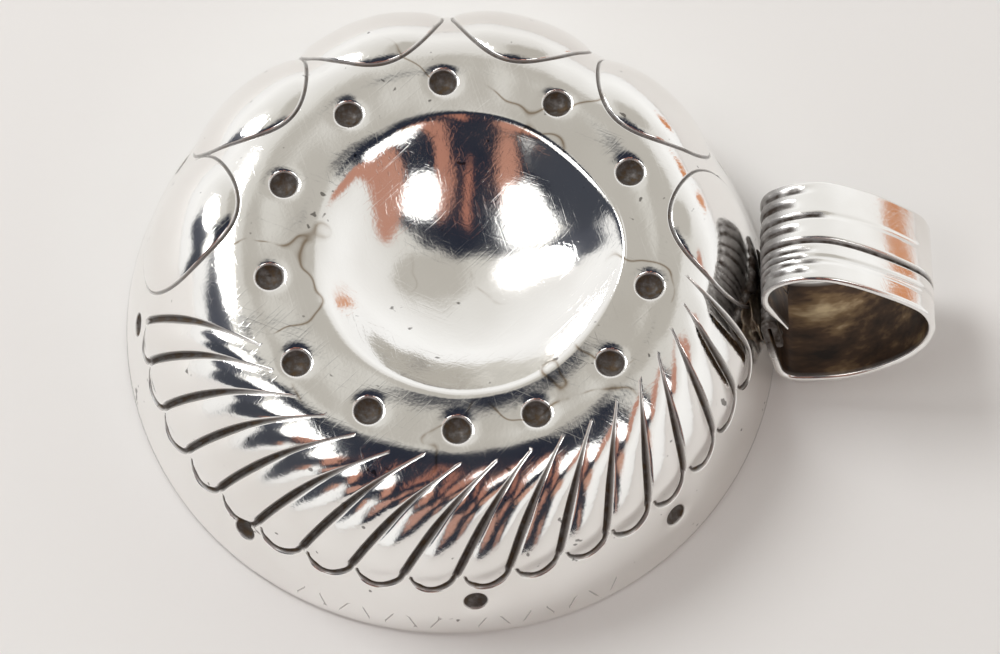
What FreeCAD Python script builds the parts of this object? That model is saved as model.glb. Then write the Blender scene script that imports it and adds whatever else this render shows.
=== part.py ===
import FreeCAD, Part
import math
import os

# A silver wine-taster's cup, lying mouth-down on its rim as it is put away.
# Frame: origin on the cup's axis in the plane of the rim, +Z up through the base,
# +X out through the middle of the finger ring. Millimetres and degrees.

Vector = FreeCAD.Vector
UP = Vector(0, 0, 1)
OUT = Vector(1, 0, 0)
ORIGIN = Vector(0, 0, 0)

# ---- the raised sheet: a section of tangent arcs from the rim up to the sunk dish ----
SHEET = 0.8                     # thickness of the silver
RIM_RADIUS = 42.5               # outer face, where the wall meets the table
RIM_HEADING = 103.65            # direction in which the wall leaves the rim, from outwards
WALL_BENDS = [                  # (radius of the bend, heading after it); negative bends outwards
    (71.0, 113.0),              # bellied wall
    (37.0, 129.5),              # belly running into the shoulder
    (9.57, 184.7),              # shoulder
    (-18.0, 165.0),             # shallow channel that holds the ring of pearls
]
CREST_BEND = 1.5                # radius of the crest round the dish
DISH_SLOPE = 45.0               # how steeply the dish goes down from its crest
MOUTH_CLEARANCE = 1.0           # the hollow is cut on past the rim by this

# ---- ring of punched pearls in the channel: (azimuth, distance from the axis) ----
PEARLS = [
    (29.5, 24.7), (60.5, 24.2), (96.5, 23.4), (128.5, 22.9), (160.5, 22.9), (192.5, 22.9),
    (221.5, 24.3), (247.5, 23.6), (274.5, 23.7), (298.5, 23.8), (325.5, 24.3), (352.5, 24.7),
]
PUNCH_RADIUS = 2.1              # round end of the punch that made them
PEARL_LIFT = 0.8                # its centre stopped this far above the sheet
PEARL_WALL = 0.6                # silver left round a pearl on the inside
# ---- and shallower pits near the rim, under the gaps in the ornament ----
RIM_PITS = [(az, 40.4) for az in (31.5, 62, 94, 127, 154.5, 188, 233.5, 277.5, 317.5)]
RIM_PIT_LIFT = 1.6

# ---- six oval bosses on one half of the wall ----
OVAL_AZIMUTHS = [11.5, 45, 78.5, 111, 142, 172.5]
OVAL_TOP, OVAL_FOOT = 28.4, 39.6        # distances of their ends from the axis
OVAL_RISE = 1.0
OVAL_HALF_WIDTH = 9.2
ROOT_SINK = 0.25                # the ends of a boss start this far under the sheet's face

# ---- seventeen slanting flutes on the other half ----
FLUTES = 17
FLUTE_FIRST = -170.0            # azimuth of the first flute's far edge, at its foot
FLUTE_STEP = 9.47
FLUTE_TWIST = 21.5              # a flute's top runs ahead of its foot by this
TWIST_LOSS = 0.077              # and by less towards the ring, with the square of the count
FLUTE_TOP, FLUTE_FOOT = 29.0, 39.0
FLUTE_RISE = 0.45
FLUTE_HALF_WIDTH = 2.6

# ---- finger ring: one strap bent round, its starting end rolled into a small scroll ----
STRAP = 0.9                     # thickness
STRAP_WIDTH = 16.0
RING_LEAN = 16.0                # the ring's own axis climbs by this towards -Y
RING_FOOT = 2.5                 # height of the ring's lowest line at mid width
SCROLL_START = (41.86, 7.35)    # out from the axis, up from the foot
SCROLL_HEADING = 108.0          # leaning in with the wall
STRAP_ROUTE = [                 # (bend radius, heading after it), or ("straight", length)
    ("straight", 3.6),
    (0.6, 288.0),               # the scroll's roll, beside the cup
    ("straight", 8.25),         # down along the wall
    (2.5, 360.0),               # foot of the ring
    (18.2, 412.0),              # underside
    (7.0, 447.5),               # outer end
    (5.1, 508.0),
    (34.5, 526.5),              # long sloping top
    (9.05, 576.5),              # hump beside the cup
    (3.05, 630.0),
    (3.8, 665.0),
    ("straight", 4.8),          # free end, hanging beside the scroll
]
GROOVE_DEPTH = 0.3              # grooves that run along the strap's outer face
GROOVE_BANDS = [(-2.4, -1.9), (1.6, 2.3), (4.1, 4.6)]   # across the width, towards -Y

# ---- solder that holds the ring to the wall ----
SOLDER_FROM, SOLDER_TO = 3.6, 9.9       # up from the ring's foot
SOLDER_WIDTH = 13.0
SOLDER_ROOT = 35.0              # its blank starts this far out, inside the wall


def unit(angle):
    return math.cos(math.radians(angle)), math.sin(math.radians(angle))


def arc_chain(start, heading, route, place, inset=0.0):
    """Tangent arcs and straights as edges, moved to the left of the route by inset.

    place turns a pair of the route's own plane into a point in space.
    Returns the edges, the last point of the moved route and the last heading.
    """
    left = unit(heading + 90)
    here = (start[0] + inset * left[0], start[1] + inset * left[1])
    edges = []
    for bend, value in route:
        if bend == "straight":
            along = unit(heading)
            there = (here[0] + value * along[0], here[1] + value * along[1])
            edges.append(Part.makeLine(place(*here), place(*there)))
            here = there
            continue
        radius = bend - inset
        left = unit(heading + 90)
        centre = (here[0] + radius * left[0], here[1] + radius * left[1])
        middle, end = [
            (centre[0] - radius * unit(a + 90)[0], centre[1] - radius * unit(a + 90)[1])
            for a in ((heading + value) / 2, value)
        ]
        edges.append(Part.Arc(place(*here), place(*middle), place(*end)).toShape())
        here, heading = end, value
    return edges, here, heading


# ------------------------------------------------------------------ the cup's section
def in_section(radius, height):
    return Vector(radius, 0, height)


def section(inset=0.0):
    """The sheet's outer face (inset 0) or inner face, from the rim to the axis."""
    to_crest = WALL_BENDS + [(CREST_BEND, 180 + DISH_SLOPE)]
    edges, edge, heading = arc_chain((RIM_RADIUS, 0), RIM_HEADING, to_crest, in_section, inset)
    dish_bend = edge[0] / math.sin(math.radians(DISH_SLOPE))
    dish, _, _ = arc_chain(edge, heading, [(-dish_bend, 180)], in_section)
    return edges + dish


def turned_body(inset):
    """Everything below one face of the sheet, as a solid turned about the axis."""
    edges = section(inset)
    first = edges[0].Vertexes[0].Point
    if inset:
        below = Vector(first.x, 0, -MOUTH_CLEARANCE)
        edges.insert(0, Part.makeLine(below, first))
        first = below
    middle = Vector(0, 0, edges[-1].Vertexes[-1].Point.z)
    low = Vector(0, 0, first.z)
    edges += [Part.makeLine(middle, low), Part.makeLine(low, first)]
    return Part.Face(Part.Wire(edges)).revolve(ORIGIN, UP, 360)


def on_surface(radius, azimuth):
    """The outer face's point and outward normal at this distance from the axis."""
    for edge in section():
        ends = [vertex.Point.x for vertex in edge.Vertexes]
        if min(ends) <= radius <= max(ends):
            probe = Part.makeLine(Vector(radius, 0, 0), Vector(radius, 0, RIM_RADIUS))
            point = edge.distToShape(probe)[1][0][0]
            normal = point.sub(edge.Curve.Center).normalize()
            if normal.z < 0:
                normal = normal.negative()
            spin = FreeCAD.Rotation(UP, azimuth)
            return spin.multVec(point), spin.multVec(normal)
    raise ValueError(f"the section has no radius of {radius} mm")


# ------------------------------------------------------------------ the ornament
def boss(top, foot, rise, half_width, inset=0.0):
    """A long rounded swelling between two places on the wall, each (radius, azimuth).

    It is an arc over the chord between them, swung about a line behind the chord.
    """
    a, b = [point - normal * ROOT_SINK for point, normal in (on_surface(*top), on_surface(*foot))]
    chord = b.sub(a).normalize()
    halfway = (a + b) * 0.5
    mid_azimuth = (top[1] + foot[1]) / 2
    steps = [top[0] + (foot[0] - top[0]) * i / 8 for i in range(2, 7)]
    crown, normal = max(
        (on_surface(radius, mid_azimuth) for radius in steps),
        key=lambda pair: pair[0].sub(halfway).cross(chord).Length,
    )
    out = (normal - chord * normal.dot(chord)).normalize()
    height = crown.sub(halfway).dot(out) + rise
    half = a.distanceToPoint(b) / 2
    bend = (half ** 2 + height ** 2) / (2 * height)
    centre = halfway + out * (height - bend)
    spread = math.asin(half / bend)
    ends = [
        centre + (out * math.cos(s) + chord * math.sin(s)) * (bend - inset)
        for s in (-spread, 0, spread)
    ]
    face = Part.Face(Part.Wire([Part.Arc(*ends).toShape(), Part.makeLine(ends[2], ends[0])]))
    radial = FreeCAD.Rotation(UP, mid_azimuth).multVec(OUT)
    wall_curve = out.dot(radial) / crown.dot(radial)
    hoop = 1 / (wall_curve + 2 * rise / half_width ** 2)
    behind = centre + out * (bend - hoop)
    swing = math.degrees(math.asin(half_width / hoop)) * 1.15
    face.rotate(behind, chord, -swing)
    return face.revolve(behind, chord, 2 * swing)


def flute_ends(k):
    """Azimuths of the foot and the top of the slanting line k steps along."""
    foot = FLUTE_FIRST + FLUTE_STEP * k
    return foot, foot + FLUTE_TWIST - TWIST_LOSS * max(0, k - 3) ** 2


def bosses(inset=0.0):
    ovals = [
        boss((OVAL_TOP, az), (OVAL_FOOT, az), OVAL_RISE, OVAL_HALF_WIDTH, inset)
        for az in OVAL_AZIMUTHS
    ]
    flutes = []
    for k in range(FLUTES):
        foot, top = flute_ends(k + 0.5)
        flutes.append(
            boss((FLUTE_TOP, top), (FLUTE_FOOT, foot), FLUTE_RISE, FLUTE_HALF_WIDTH, inset)
        )
    return ovals + flutes


def punch_balls(places, radius, lift):
    """Balls over the outer face, one for each (azimuth, distance from the axis)."""
    balls = []
    for azimuth, distance in places:
        point, normal = on_surface(distance, azimuth)
        balls.append(Part.makeSphere(radius, point + normal * lift))
    return balls


def make_bowl():
    """The cup, and the body that its outer face encloses."""
    outer = turned_body(0).multiFuse(bosses())
    hollow = turned_body(SHEET).multiFuse(bosses(SHEET))
    skins = [
        ball.common(outer).Solids[0]
        for ball in punch_balls(PEARLS, PUNCH_RADIUS + PEARL_WALL, PEARL_LIFT)
    ]
    pits = punch_balls(PEARLS, PUNCH_RADIUS, PEARL_LIFT)
    pits += punch_balls(RIM_PITS, PUNCH_RADIUS, RIM_PIT_LIFT)
    return outer.cut(hollow).multiFuse(skins).cut(pits), outer


# ------------------------------------------------------------------ the finger ring
RING_ACROSS = FreeCAD.Rotation(OUT, -RING_LEAN).multVec(Vector(0, -1, 0))
RING_UP = FreeCAD.Rotation(OUT, -RING_LEAN).multVec(UP)


def in_ring(outward, upward):
    """A point of the ring's middle plane, which leans with the ring."""
    return Vector(0, 0, RING_FOOT) + OUT * outward + RING_UP * upward


def strap_band(from_width, to_width, groove=0.0):
    """One lengthwise band of the strap, thinner on its outer face by groove."""
    (outer, outer_end, _), (inner, inner_end, _) = [
        arc_chain(SCROLL_START, SCROLL_HEADING, STRAP_ROUTE, in_ring, inset)
        for inset in (groove - STRAP / 2, STRAP / 2)
    ]
    starts = [edges[0].Vertexes[0].Point for edges in (inner, outer)]
    caps = [Part.makeLine(*starts), Part.makeLine(in_ring(*outer_end), in_ring(*inner_end))]
    face = Part.Face(Part.Wire(Part.sortEdges(outer + inner + caps)[0]))
    face.translate(RING_ACROSS * from_width)
    return face.extrude(RING_ACROSS * (to_width - from_width))


def make_ring():
    bands = []
    at = -STRAP_WIDTH / 2
    for start, end in GROOVE_BANDS:
        bands += [strap_band(at, start), strap_band(start, end, GROOVE_DEPTH)]
        at = end
    bands.append(strap_band(at, STRAP_WIDTH / 2))
    return bands[0].multiFuse(bands[1:])


def make_solder(cup_body, ring):
    """What filled the gap between the wall and the strap that runs down along it."""
    edges, _, _ = arc_chain(SCROLL_START, SCROLL_HEADING, STRAP_ROUTE[:3], in_ring)
    top, foot = [vertex.Point - in_ring(0, 0) for vertex in edges[2].Vertexes]
    slope = (foot.x - top.x) / (foot - top).dot(RING_UP)

    def beside(up):
        return top.x + slope * (up - top.dot(RING_UP))

    corners = [
        in_ring(SOLDER_ROOT, SOLDER_FROM), in_ring(beside(SOLDER_FROM), SOLDER_FROM),
        in_ring(beside(SOLDER_TO), SOLDER_TO), in_ring(SOLDER_ROOT, SOLDER_TO),
    ]
    blank = Part.Face(Part.makePolygon(corners + corners[:1]))
    blank.translate(RING_ACROSS * (-SOLDER_WIDTH / 2))
    return blank.extrude(RING_ACROSS * SOLDER_WIDTH).cut([cup_body, ring])


def main():
    os.makedirs("parts", exist_ok=True)
    bowl, cup_body = make_bowl()
    ring = make_ring()
    pieces = {
        "bowl": bowl,
        "ring_handle": ring,
        "handle_solder": make_solder(cup_body, ring),
    }
    for name, shape in pieces.items():
        solid = shape.Solids[0]
        print(name, "valid", shape.isValid(), "solids", len(shape.Solids),
              "volume", round(shape.Volume, 1))
        solid.exportStep(f"parts/{name}.step")


main()
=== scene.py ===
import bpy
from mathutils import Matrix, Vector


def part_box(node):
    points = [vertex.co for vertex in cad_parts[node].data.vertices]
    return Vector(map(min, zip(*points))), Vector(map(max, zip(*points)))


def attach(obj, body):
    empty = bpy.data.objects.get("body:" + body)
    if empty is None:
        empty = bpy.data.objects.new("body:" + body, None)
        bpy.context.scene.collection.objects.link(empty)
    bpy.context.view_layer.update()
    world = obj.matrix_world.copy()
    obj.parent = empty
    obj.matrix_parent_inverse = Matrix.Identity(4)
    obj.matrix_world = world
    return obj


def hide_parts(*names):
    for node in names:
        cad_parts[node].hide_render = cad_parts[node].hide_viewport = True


bl_info = {
    "name": "Silver Wine Taster",
    "version": (1, 0, 0),
    "blender": (4, 5, 0),
    "location": "View3D > Sidebar > Wine Taster",
    "description": "Builds the chased silver sheet, the finger ring and its solder round the CAD frame",
    "category": "Object",
}

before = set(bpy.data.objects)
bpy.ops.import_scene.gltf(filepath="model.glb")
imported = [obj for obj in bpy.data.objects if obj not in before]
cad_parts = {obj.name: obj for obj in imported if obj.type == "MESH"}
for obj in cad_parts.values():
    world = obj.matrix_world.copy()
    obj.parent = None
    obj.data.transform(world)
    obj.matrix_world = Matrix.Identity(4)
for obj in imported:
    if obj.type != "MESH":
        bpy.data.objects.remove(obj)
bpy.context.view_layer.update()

import math

import bpy
import numpy as np
from mathutils import Matrix, Vector, kdtree
from mathutils.geometry import delaunay_2d_cdt

MM = 0.001
RIM_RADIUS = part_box("bowl")[1][0] / MM

# ---------------- the turned section, in mm
RIM_HEADING = 103.65            # the wall leaves the rim in this direction, from outwards
WALL_BENDS = [                  # (radius of the bend, heading after it); negative bends outwards
    (71.0, 113.0),              # bellied wall
    (37.0, 129.5),              # belly running into the shoulder
    (9.57, 184.7),              # shoulder
    (-27.5, 171.6),             # shallow channel that holds the pearls, worn flatter
    (1.5, 225.0),               # crest round the dish
]
LIP_TRIM = 0.51                 # the wall stops this short of the table, and a round lip closes it
DISH_EDGE = 19.6                # distance along the face from the axis to the dish's edge
CHANNEL_START = 24.6            # the dish's own irregular shape has died out by here
DISH_SHIFT = (1.5, -0.1)        # the dish's middle, off the cup's axis
DISH_GROWTH = 0.6               # how much wider than the turned section the dish is all round
# Where the dish's edge swings out or in: (azimuth, its spread in square degrees, how far).
DISH_SWINGS = [(10, 450, 0.9), (47, 500, -0.55), (-38, 600, -0.44)]

# ---------------- the ornament
PEARLS = [                      # (azimuth, distance from the axis)
    (29.5, 24.7), (60.5, 24.2), (96.5, 23.4), (128.5, 22.9), (160.5, 22.9), (192.5, 22.9),
    (221.5, 24.3), (247.5, 23.6), (274.5, 23.7), (298.5, 23.8), (325.5, 24.3), (352.5, 24.7),
]
RIM_PITS = [(az, 40.4) for az in (31.5, 62, 94, 127, 154.5, 188, 233.5, 277.5, 317.5)]
OVALS = [                       # (azimuth, half angle, share of the full rise)
    (11.5, 14.8, 0.6), (45, 15, 1), (78.5, 15, 1), (111, 15.5, 1), (142, 15, 1), (172.5, 15, 1),
]
OVAL_TOP, OVAL_FOOT = 29.4, 50.0
FLUTES = 17
FLUTE_FIRST, FLUTE_STEP = -170.0, 9.47
FLUTE_TWIST = 21.5              # a flute's tip runs ahead of its foot by this
TWIST_LOSS = 0.077              # and by less towards the ring, with the square of the count
MEAN_FOOT, MEAN_TIP = 46.5, 29.5        # u of a middling flute's ends
MEAN_TWIST = 18.0


def smooth(x, low, high):
    """Smooth step from 0 at low to 1 at high."""
    t = np.clip((np.asarray(x, float) - low) / (high - low), 0, 1)
    return t * t * (3 - 2 * t)


def turn_from(azimuth, centre):
    """Signed turn from centre to azimuth, in degrees."""
    return (azimuth - centre + 180) % 360 - 180


# ---------------- property groups
class TasterSheet(bpy.types.PropertyGroup):
    thickness: bpy.props.FloatProperty(
        name="Sheet thickness", description="Thickness of the raised silver sheet",
        default=0.8 * MM, min=0.4 * MM, unit="LENGTH")
    flute_rise: bpy.props.FloatProperty(
        name="Flute rise", description="How far a flute swells out of the wall",
        default=0.95 * MM, unit="LENGTH")
    oval_rise: bpy.props.FloatProperty(
        name="Oval rise", description="How far an oval boss swells out of the wall",
        default=1.55 * MM, unit="LENGTH")
    pearl_depth: bpy.props.FloatProperty(
        name="Pearl depth", description="Depth of the punched pearls, from outside",
        default=1.3 * MM, unit="LENGTH")
    unevenness: bpy.props.FloatProperty(
        name="Hammer unevenness", description="Depth of the low waves left by hammering",
        default=0.075 * MM, unit="LENGTH")


# ---------------- section
class Section:
    """The sheet's outer face: radius, height and normal at a distance from the axis along it."""

    STEP = 0.05
    CREST_SOFTENING = 2.4

    def __init__(self):
        r, z, heading = RIM_RADIUS, 0.0, RIM_HEADING
        rows = []
        for bend, turn_to in WALL_BENDS + [(None, 180.0)]:
            if bend is None:
                bend = -r / math.sin(math.radians(heading - 180))
            start, stop = math.radians(heading), math.radians(turn_to)
            count = max(2, round(bend * (stop - start) / self.STEP))
            h = np.linspace(start, stop, count + 1)
            x = r + bend * (np.sin(h) - math.sin(start))
            y = z + bend * (math.cos(start) - np.cos(h))
            rows += list(zip(x[:-1], y[:-1], h[:-1]))
            r, z, heading = x[-1], y[-1], turn_to
        rows.append((0.0, z, math.pi))
        table = np.array(rows)[::-1]
        self.r, self.z = table[:, 0], table[:, 1]
        self.nr, self.nz = np.sin(table[:, 2]), -np.cos(table[:, 2])
        run = np.hypot(np.diff(self.r), np.diff(self.z))
        self.u = np.r_[0, np.cumsum(run)]
        self.length = self.u[-1] - LIP_TRIM
        self.soft = [self._blur(a) for a in (self.r, self.z, self.nr, self.nz)]

    def _blur(self, values):
        """The same curve with the crest worn round, for the dish's soft side."""
        even = np.arange(0, self.u[-1], self.STEP)
        v = np.interp(even, self.u, values)
        reach = int(3 * self.CREST_SOFTENING / self.STEP)
        bell = np.exp(-0.5 * (np.arange(-reach, reach + 1) * self.STEP / self.CREST_SOFTENING) ** 2)
        padded = np.pad(v, reach, mode="reflect", reflect_type="odd")
        blurred = np.convolve(padded, bell / bell.sum(), mode="valid")
        keep = smooth(even, 8, 13) * (1 - smooth(even, 24, 29))
        return np.interp(self.u, even, v + (blurred - v) * keep)

    def u_at_radius(self, radius):
        return float(np.interp(radius, self.r, self.u))

    def place(self, u, azimuth, lift=0.0):
        """Points of the face in mm, moved along its normal by lift."""
        a = np.radians(azimuth)
        soft = 0.25 + 0.75 * np.clip(-np.cos(a + 0.25), 0, 1)      # most worn opposite the ring
        r, z, nr, nz = [
            np.interp(u, self.u, sharp) * (1 - soft) + np.interp(u, self.u, blurred) * soft
            for sharp, blurred in zip((self.r, self.z, self.nr, self.nz), self.soft)
        ]
        dish = 1 - smooth(u, DISH_EDGE, CHANNEL_START)
        swing = DISH_GROWTH + sum(
            far * np.exp(-turn_from(azimuth, centre) ** 2 / spread)
            for centre, spread, far in DISH_SWINGS)
        r = r + swing * dish * smooth(u, 0, 14) + nr * lift
        x, y = r * np.cos(a) + DISH_SHIFT[0] * dish, r * np.sin(a) + DISH_SHIFT[1] * dish
        return np.stack([x, y, z + nz * lift], axis=-1)


SECTION = Section()


# ---------------- chased lines
class Line:
    """A line chased into the sheet: its path in (azimuth, u), and how wide, deep and dark it is."""

    def __init__(self, azimuth, u, half_width, depth, dark=1.0):
        self.azimuth, self.u = np.asarray(azimuth, float), np.asarray(u, float)
        count = len(self.u)
        self.half_width = np.broadcast_to(half_width, count).astype(float)
        self.depth = np.broadcast_to(depth, count).astype(float)
        self.dark = np.broadcast_to(dark, count).astype(float)
        self.points = SECTION.place(self.u, self.azimuth)

    def rows(self, offsets):
        """Points beside the line, at these multiples of its half width."""
        radius = np.interp(self.u, SECTION.u, SECTION.r)
        along_a = np.gradient(np.radians(self.azimuth)) * radius
        along_u = np.gradient(self.u)
        size = np.hypot(along_a, along_u)
        side_a, side_u = -along_u / size, along_a / size
        return [
            (self.azimuth + np.degrees(o * self.half_width * side_a / radius),
             self.u + o * self.half_width * side_u)
            for o in offsets
        ]

    def cut(self, points, reach=1.0, depth_scale=1.0):
        """Depth and darkness of the line at these points of the face, and which points they are."""
        widest = self.half_width.max() * reach
        low, high = self.points.min(0) - widest, self.points.max(0) + widest
        near = np.nonzero(np.all((points > low) & (points < high), axis=1))[0]
        if not len(near):
            return near, np.zeros(0), np.zeros(0)
        p = points[near][:, None]
        a, b = self.points[:-1], self.points[1:]
        ab = b - a
        t = np.clip(((p - a) * ab).sum(2) / (ab * ab).sum(1), 0, 1)
        gap = np.linalg.norm(p - (a + t[..., None] * ab), axis=2)
        best = gap.argmin(1)
        rows = np.arange(len(near))
        gap, where = gap[rows, best], best + t[rows, best]
        index = np.arange(len(self.u))
        width = np.interp(where, index, self.half_width) * reach
        across = np.clip(gap / width, 0, 1)
        depth = np.interp(where, index, self.depth) * depth_scale
        dark = np.interp(where, index, self.dark)
        return near, depth * (1 - across ** 1.5), dark * (1 - smooth(across, 0.62, 1.0))


def straight_path():
    """A flute's (share of climb, share of twist) pairs that make it straight, seen from above."""
    t = np.linspace(-0.25, 1.2, 60)
    foot, tip = (np.interp(u, SECTION.u, SECTION.r) for u in (MEAN_FOOT, MEAN_TIP))
    twist = math.radians(MEAN_TWIST)
    x, y = foot + t * (tip * math.cos(twist) - foot), t * tip * math.sin(twist)
    climb = (np.interp(np.hypot(x, y), SECTION.r, SECTION.u) - MEAN_FOOT) / (MEAN_TIP - MEAN_FOOT)
    return climb, np.arctan2(y, x) / twist


FLUTE_CLIMB, FLUTE_TURN = straight_path()


def flute_line(k):
    """Azimuth and u of the foot and the tip of the slanting line k; k may lie between lines."""
    k = np.asarray(k, float)
    foot_az = FLUTE_FIRST + FLUTE_STEP * k - smooth(k, 0, 1.2) * (2.0 - 1.5 * smooth(k, 4, 14))
    foot_u = 48.2 - 3.0 * smooth(k, 4, 12) - 1.2 * np.exp(-k * k / 0.6)
    tip_az = foot_az + FLUTE_TWIST - TWIST_LOSS * np.maximum(0, k - 3) ** 2
    tip_u = 28.9 + 0.14 * k
    return foot_az, foot_u, tip_az, tip_u


def flute_groove(k, rng):
    """One slanting line, broad and deep at its foot and dying to a point."""
    foot_az, foot_u, tip_az, tip_u = flute_line(k)
    tip_u = tip_u + rng.uniform(-0.5, 0.5)
    t = np.linspace(0, 1, 64)
    azimuth = foot_az + (tip_az - foot_az) * np.interp(t, FLUTE_CLIMB, FLUTE_TURN)
    u = foot_u + (tip_u - foot_u) * t
    body = (1 - smooth(t, 0.4, 1.0)) * smooth(t, -0.05, 0.03)
    dark = 0.6 + 0.4 * (1 - smooth(t, 0.6, 1))
    return Line(azimuth, u, 0.16 + 0.44 * body, 0.07 + 0.58 * body, dark)


def scallop(k, rng):
    """The curved line that closes the foot of flute k, from just below line k to line k + 1."""
    start = 0.12 + rng.uniform(0, 0.08)
    t = np.linspace(0, 1, 34)
    c = start + (1.0 - rng.uniform(0, 0.05) - start) * t
    foot_az, foot_u, _, _ = flute_line(k + c)
    drop = 0.35 + rng.uniform(2.0, 2.5) * np.sin(np.pi * np.clip(t, 0, 1) ** 0.9) ** 0.62
    body = smooth(t, 0.0, 0.2) * (1 - 0.3 * smooth(t, 0.85, 1.0))
    return Line(foot_az, foot_u + drop, 0.24 + 0.26 * body, 0.14 + 0.36 * body)


def oval_outline(azimuth, half_angle):
    """The thin line round a boss; it shows most on the side towards the base, where its tarnish is
    deepened by painted shade.
    """
    a = np.radians(np.arange(0, 361, 2.5))
    towards_base = 0.5 - 0.5 * np.sin(a)
    middle, half = (OVAL_TOP + OVAL_FOOT) / 2, (OVAL_FOOT - OVAL_TOP) / 2
    depth = 0.10 + 0.16 * towards_base
    # the line's darkness: real tarnish, made darker towards the base by painted shade
    return Line(azimuth + half_angle * np.cos(a), middle + half * np.sin(a),
                0.24, depth, 0.5 + 0.45 * towards_base)


def rim_ticks():
    """Plain engraved ticks in two groups, a short border near the rim."""
    ticks = []
    for start in (-113.5, -81.5):
        for i in range(7):
            azimuth = start + 4.0 * i
            lean = 0.55 if i % 2 else -0.55
            t = np.linspace(-0.5, 0.5, 5)
            ticks.append(Line(azimuth + lean * t * 2, 55.9 + 1.5 * t, 0.12, 0.05, 0.75))
    return ticks


def chased_lines():
    rng = np.random.default_rng(7)
    lines = [flute_groove(k, rng) for k in range(FLUTES + 1)]
    lines += [scallop(k, rng) for k in range(FLUTES)]
    return lines, [oval_outline(az, half_angle) for az, half_angle, _ in OVALS], rim_ticks()


# ---------------- swellings and pits
def flute_swelling(azimuth, u):
    """Height of the flutes, as a share of their rise, at places on the face."""
    azimuth = (azimuth - FLUTE_FIRST + 60) % 360 + FLUTE_FIRST - 60
    k = (azimuth - FLUTE_FIRST) / FLUTE_STEP
    for _ in range(12):
        foot_az, foot_u, tip_az, tip_u = flute_line(np.clip(k, -1, FLUTES + 1))
        w = np.clip((u - foot_u) / (tip_u - foot_u), -0.2, 1.2)
        turned = foot_az + (tip_az - foot_az) * np.interp(w, FLUTE_CLIMB, FLUTE_TURN)
        beyond = FLUTE_STEP * (k - np.clip(k, -1, FLUTES + 1))
        k = k + (azimuth - turned - beyond) / FLUTE_STEP
    c = k - np.floor(k)
    inside = (k > 0) & (k < FLUTES)
    across = np.clip(1 - np.abs(2 * c - 1) ** 2.2, 0, 1)
    from_foot = smooth(foot_u + 2.0 - u, 0, 4.2)
    to_tip = 0.35 * smooth(1 - w, 0.0, 0.3) + 0.65 * smooth(1 - w, 0.1, 0.95)
    return np.where(inside, across * from_foot * to_tip, 0)


def oval_swelling(azimuth, u):
    """Height of the ovals, as a share of their rise, at places on the face."""
    total = np.zeros(len(u))
    middle, half = (OVAL_TOP + OVAL_FOOT) / 2, (OVAL_FOOT - OVAL_TOP) / 2
    for centre, half_angle, share in OVALS:
        q = (turn_from(azimuth, centre) / half_angle) ** 2 + ((u - middle) / half) ** 2
        total = np.maximum(total, share * np.clip(1 - q, 0, 1) ** 0.7)
    return total


def hammer_waves(points, rng):
    """Low waves in the sheet, from sums of sines in random directions."""
    total = np.zeros(len(points))
    for length, share in ((21, 1.5), (11, 0.75), (4.5, 0.16)):
        for _ in range(7):
            direction = rng.normal(size=3)
            direction *= 2 * math.pi / length / np.linalg.norm(direction)
            total += share * np.sin(points @ direction + rng.uniform(0, 6.28)) / 2.6
    return total


def pit_depth(gap, radius, depth, lip=0.09):
    """A round punched hollow with a rolled lip, at a distance gap from its middle."""
    ball = (radius ** 2 + depth ** 2) / (2 * depth)
    hollow = np.sqrt(np.clip(ball ** 2 - np.minimum(gap, radius) ** 2, 0, None)) - (ball - depth)
    rolled = lip * np.exp(-((gap - radius) / 0.55).clip(0, None) ** 2)
    return hollow + rolled


def pit_places():
    """(azimuth, u, radius, share of a pearl's depth) of every pearl and rim pit."""
    pearls = [(az, SECTION.u_at_radius(r), 1.82, 1.0) for az, r in PEARLS]
    return pearls + [(az, SECTION.u_at_radius(r), 1.55, 0.62) for az, r in RIM_PITS]


def pits_near(base, reach):
    """For each pit: the points within reach of it, how far off they are, its radius and share."""
    for azimuth, u, radius, share in pit_places():
        middle = SECTION.place(np.array([u]), np.array([azimuth]))[0]
        gap = np.linalg.norm(base - middle, axis=1)
        near = gap < reach
        yield near, gap[near], radius, share


def raised(sheet, azimuth, u):
    """How far the flutes and the ovals lift the sheet at these places, in mm."""
    return (sheet.flute_rise / MM * flute_swelling(azimuth, u)
            + sheet.oval_rise / MM * oval_swelling(azimuth, u))


# ---------------- laying out the sheet's points
def ring_points(azimuth, u, radii, count):
    """Circles of points round a place on the face, as azimuths and u."""
    radius = np.interp(u, SECTION.u, SECTION.r)
    out = [(np.array([azimuth]), np.array([u]))]
    for i, size in enumerate(radii):
        a = (np.arange(count) + 0.5 * (i % 2)) * 2 * np.pi / count
        out.append((azimuth + np.degrees(size * np.cos(a) / radius), u + size * np.sin(a)))
    return out


def pit_points(sizes, count):
    """Circles of points in and round every pit; sizes are multiples of its radius."""
    points = []
    for azimuth, u, radius, _ in pit_places():
        points += ring_points(azimuth, u, [radius * size for size in sizes], count)
    return points


def background(spacing, length):
    """Rings of evenly spaced points over the whole face, coarser in the dish."""
    out, u, i = [], 0.9, 0
    while u < length - 0.35:
        gap = spacing * (1.0 + 0.7 * (1 - smooth(u, 15, 21)) + 0.25 * smooth(u, 49, 54))
        count = int(2 * math.pi * np.interp(u, SECTION.u, SECTION.r) / gap) + 6
        a = (np.arange(count) + 0.5 * (i % 2)) * 360 / count
        out.append((a, np.full(count, u)))
        u += gap * 0.9
        i += 1
    return out


def flat(pairs):
    """A list of (azimuths, u) pairs as one pair."""
    azimuth = np.concatenate([a for a, _ in pairs])
    u = np.concatenate([b for _, b in pairs])
    return azimuth, u


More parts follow.
